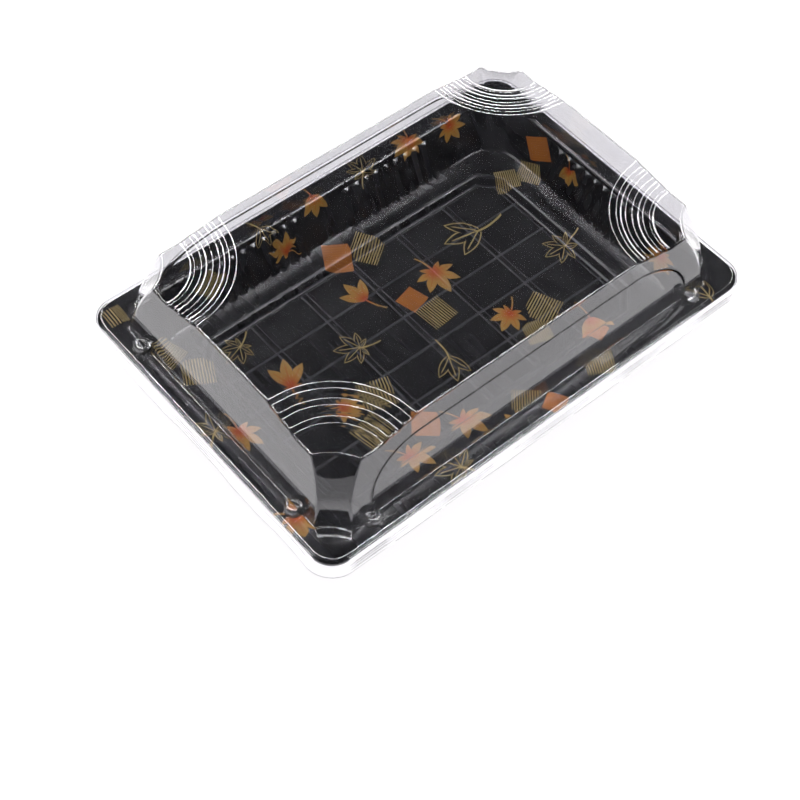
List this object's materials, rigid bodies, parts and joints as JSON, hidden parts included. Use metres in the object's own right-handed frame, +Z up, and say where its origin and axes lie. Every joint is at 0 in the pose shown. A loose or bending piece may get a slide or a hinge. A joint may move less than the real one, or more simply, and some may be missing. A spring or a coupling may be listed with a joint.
{
  "type": "empty takeaway sushi tray with clear domed lid",
  "caption": "Shallow black formed food tray with fluted walls and a printed pattern, closed by a clear domed lid with stepped corner fans and a skirt that clips over the rim.",
  "frame": {"origin": "middle of the tray on the surface it stands on", "axes": "+Z up, +X along the tray's length, +Y across its width"},
  "size_m": [0.1652, 0.1152, 0.0428],
  "materials": {
    "black_sheet": "glossy black formed sheet with a gold and orange leaf print",
    "clear_sheet": "clear glossy formed plastic sheet"
  },
  "bodies": {
    "root": {"tray": "black_sheet", "lid": "clear_sheet"}
  },
  "joints": []
}
